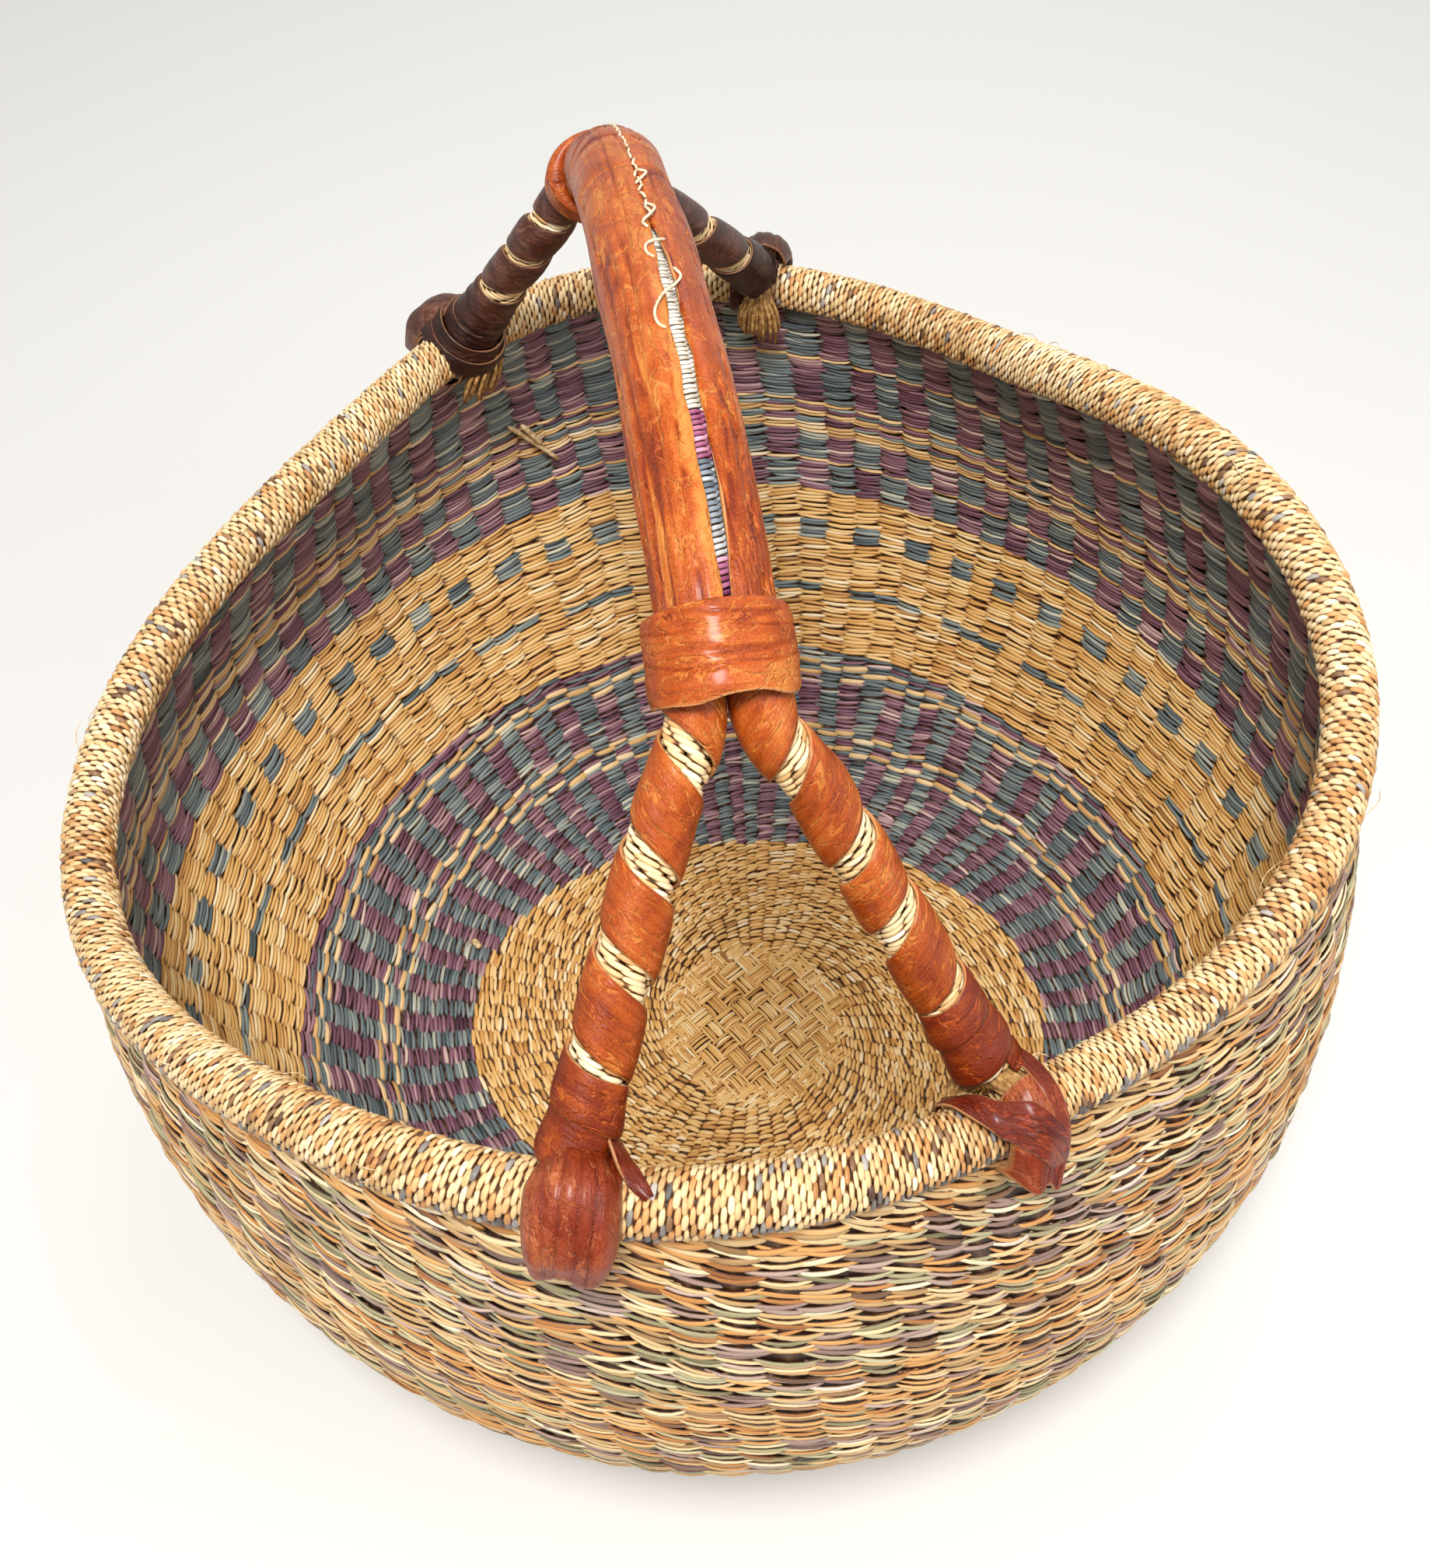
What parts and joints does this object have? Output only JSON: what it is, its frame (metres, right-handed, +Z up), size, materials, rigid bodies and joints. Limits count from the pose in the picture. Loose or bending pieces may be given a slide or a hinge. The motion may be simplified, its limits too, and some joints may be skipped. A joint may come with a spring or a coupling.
{
  "type": "bolga basket",
  "caption": "Round open woven grass basket with a wavy bound rim and an arched leather-sheathed carrying handle that forks into lashed legs.",
  "frame": {"origin": "centre of the basket's flat underside, on the surface that it stands on", "axes": "+Z up; +Y from the front of the basket to its back, the way the handle mostly runs; +X to the right seen from the front"},
  "size_m": [0.4657, 0.4803, 0.416],
  "materials": {
    "woven_grass": "matt, dyed bands of purple and grey-green",
    "grass_bundle": "matt",
    "twisted_grass_cord": "matt",
    "tanned_leather": "semi-gloss",
    "dark_leather": "semi-gloss",
    "cotton_thread": "matt"
  },
  "bodies": {
    "root": {"woven_bowl": "woven_grass", "rim_core": "grass_bundle", "rim_lashing": "twisted_grass_cord", "grip_core": "grass_bundle", "grip_binding": "twisted_grass_cord", "grip_sheath": "tanned_leather", "grip_seam_thread": "cotton_thread", "front_collar": "tanned_leather", "rear_collar": "tanned_leather", "leg_core_front_left": "grass_bundle", "leg_binding_front_left": "twisted_grass_cord", "leg_wrap_front_left": "tanned_leather", "foot_cap_front_left": "dark_leather", "foot_strap_front_left": "dark_leather", "leg_core_front_right": "grass_bundle", "leg_binding_front_right": "twisted_grass_cord", "leg_wrap_front_right": "tanned_leather", "foot_cap_front_right": "dark_leather", "foot_strap_front_right": "dark_leather", "leg_core_rear_left": "grass_bundle", "leg_binding_rear_left": "twisted_grass_cord", "leg_wrap_rear_left": "tanned_leather", "foot_cap_rear_left": "dark_leather", "foot_strap_rear_left": "dark_leather", "leg_core_rear_right": "grass_bundle", "leg_binding_rear_right": "twisted_grass_cord", "leg_wrap_rear_right": "tanned_leather", "foot_cap_rear_right": "dark_leather", "foot_strap_rear_right": "dark_leather"}
  },
  "joints": []
}
